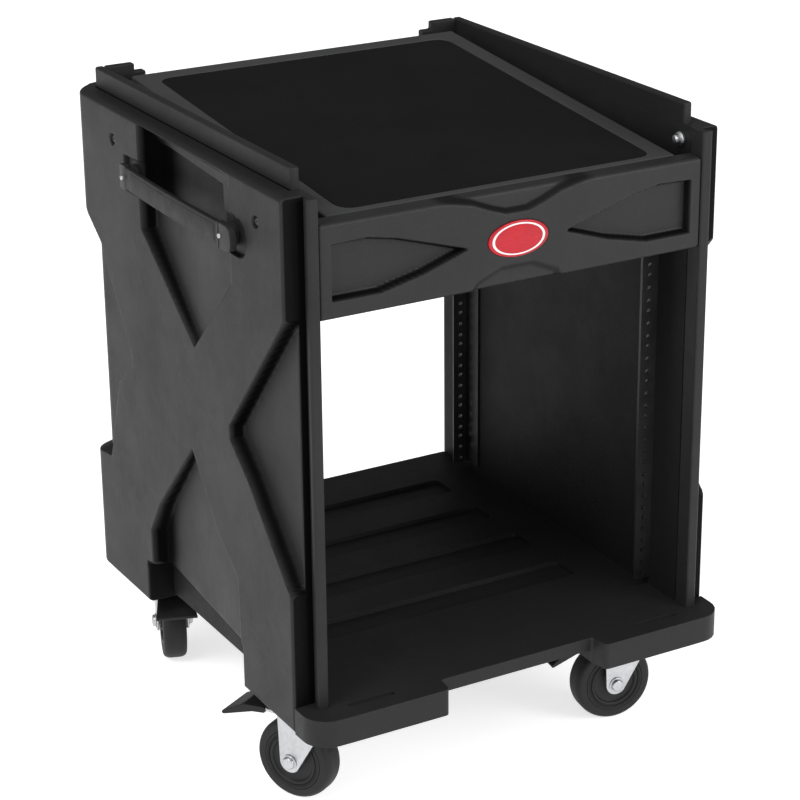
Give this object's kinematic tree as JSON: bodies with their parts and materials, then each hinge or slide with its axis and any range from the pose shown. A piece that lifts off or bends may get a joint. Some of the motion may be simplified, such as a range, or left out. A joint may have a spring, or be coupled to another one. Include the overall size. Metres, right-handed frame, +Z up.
{
  "type": "equipment rack case",
  "caption": "Rolling moulded case for 19 inch rack equipment, with an open bay, a sloping tray on top, strap handles and swivel casters.",
  "frame": {"origin": "on the floor under the casters, on the case's centre plane and halfway along its depth; the box's own centre lies a few millimetres to the left of it, because one brake pedal points outward", "axes": "+Z up, -Y towards the open front of the rack bay, +X to the right seen from the front"},
  "size_m": [0.5984, 0.606, 0.779],
  "materials": {
    "shell_plastic": "pebbled charcoal polyethylene",
    "tray_plastic": "fine-grained black plastic",
    "mat_foam": "matt black anti-slip mat",
    "rail_steel": "satin black powder coat",
    "zinc_steel": "bright zinc plate",
    "screw_steel": "black coated steel",
    "handle_rubber": "moulded black rubber",
    "handle_cap": "black moulded plastic",
    "badge_red": "glossy red, plain",
    "badge_rim": "glossy white",
    "tyre_rubber": "dark grey rubber",
    "hub_plastic": "dark grey moulded nylon",
    "pedal_plastic": "black moulded nylon"
  },
  "bodies": {
    "case": {"side_shell_left": "shell_plastic", "side_shell_right": "shell_plastic", "base_tub": "shell_plastic", "front_fascia": "shell_plastic", "rear_fascia": "shell_plastic", "badge_rim": "badge_rim", "badge_face": "badge_red", "top_tray": "tray_plastic", "tray_mat": "mat_foam", "tray_screw_left": "zinc_steel", "tray_screw_right": "zinc_steel", "rack_rail_front_left": "rail_steel", "rack_rail_front_right": "rail_steel", "rack_rail_rear_left": "rail_steel", "rack_rail_rear_right": "rail_steel", "shell_screw_left_front": "screw_steel", "shell_screw_left_rear": "screw_steel", "shell_screw_right_front": "screw_steel", "shell_screw_right_rear": "screw_steel", "handle_strap_left": "handle_rubber", "handle_strap_right": "handle_rubber", "handle_pad_left_front": "handle_cap", "handle_pad_left_rear": "handle_cap", "handle_pad_right_front": "handle_cap", "handle_pad_right_rear": "handle_cap", "handle_screw_left_front": "zinc_steel", "handle_screw_left_rear": "zinc_steel", "handle_screw_right_front": "zinc_steel", "handle_screw_right_rear": "zinc_steel", "caster_front_left_plate": "zinc_steel", "caster_front_right_plate": "zinc_steel", "caster_rear_left_plate": "zinc_steel", "caster_rear_right_plate": "zinc_steel"},
    "front_left_swivel": {"caster_front_left_fork": "zinc_steel"},
    "front_left_wheel": {"caster_front_left_tyre": "tyre_rubber", "caster_front_left_hub": "hub_plastic", "caster_front_left_axle": "zinc_steel"},
    "front_left_brake": {"caster_front_left_pedal": "pedal_plastic"},
    "front_right_swivel": {"caster_front_right_fork": "zinc_steel"},
    "front_right_wheel": {"caster_front_right_tyre": "tyre_rubber", "caster_front_right_hub": "hub_plastic", "caster_front_right_axle": "zinc_steel"},
    "front_right_brake": {"caster_front_right_pedal": "pedal_plastic"},
    "rear_left_swivel": {"caster_rear_left_fork": "zinc_steel"},
    "rear_left_wheel": {"caster_rear_left_tyre": "tyre_rubber", "caster_rear_left_hub": "hub_plastic", "caster_rear_left_axle": "zinc_steel"},
    "rear_left_brake": {"caster_rear_left_pedal": "pedal_plastic"},
    "rear_right_swivel": {"caster_rear_right_fork": "zinc_steel"},
    "rear_right_wheel": {"caster_rear_right_tyre": "tyre_rubber", "caster_rear_right_hub": "hub_plastic", "caster_rear_right_axle": "zinc_steel"},
    "rear_right_brake": {"caster_rear_right_pedal": "pedal_plastic"}
  },
  "joints": [
    {"name": "front_left_turn", "type": "hinge", "parent": "case", "child": "front_left_swivel", "pos_m": [-0.2185, -0.205, 0.117], "axis": [0, 0, 1], "continuous": true},
    {"name": "front_left_roll", "type": "hinge", "parent": "front_left_swivel", "child": "front_left_wheel", "pos_m": [-0.23574, -0.17454, 0.05], "axis": [-0.8704, -0.4924, 0], "continuous": true},
    {"name": "front_left_brake_press", "type": "hinge", "parent": "front_left_swivel", "child": "front_left_brake", "pos_m": [-0.25445, -0.14146, 0.1065], "axis": [-0.8704, -0.4924, 0], "range_deg": [0, 15]},
    {"name": "front_right_turn", "type": "hinge", "parent": "case", "child": "front_right_swivel", "pos_m": [0.2185, -0.205, 0.117], "axis": [0, 0, 1], "continuous": true},
    {"name": "front_right_roll", "type": "hinge", "parent": "front_right_swivel", "child": "front_right_wheel", "pos_m": [0.18388, -0.19983, 0.05], "axis": [-0.1478, -0.989, 0], "continuous": true},
    {"name": "front_right_brake_press", "type": "hinge", "parent": "front_right_swivel", "child": "front_right_brake", "pos_m": [0.1463, -0.19421, 0.1065], "axis": [-0.1478, -0.989, 0], "range_deg": [0, 15]},
    {"name": "rear_left_turn", "type": "hinge", "parent": "case", "child": "rear_left_swivel", "pos_m": [-0.202, 0.257, 0.117], "axis": [0, 0, 1], "continuous": true},
    {"name": "rear_left_roll", "type": "hinge", "parent": "rear_left_swivel", "child": "rear_left_wheel", "pos_m": [-0.21397, 0.22411, 0.05], "axis": [0.9397, -0.342, 0], "continuous": true},
    {"name": "rear_left_brake_press", "type": "hinge", "parent": "rear_left_swivel", "child": "rear_left_brake", "pos_m": [-0.22697, 0.1884, 0.1065], "axis": [0.9397, -0.342, 0], "range_deg": [0, 15]},
    {"name": "rear_right_turn", "type": "hinge", "parent": "case", "child": "rear_right_swivel", "pos_m": [0.202, 0.257, 0.117], "axis": [0, 0, 1], "continuous": true},
    {"name": "rear_right_roll", "type": "hinge", "parent": "rear_right_swivel", "child": "rear_right_wheel", "pos_m": [0.1845, 0.22669, 0.05], "axis": [0.866, -0.5, 0], "continuous": true},
    {"name": "rear_right_brake_press", "type": "hinge", "parent": "rear_right_swivel", "child": "rear_right_brake", "pos_m": [0.1655, 0.19378, 0.1065], "axis": [0.866, -0.5, 0], "range_deg": [0, 15]}
  ]
}
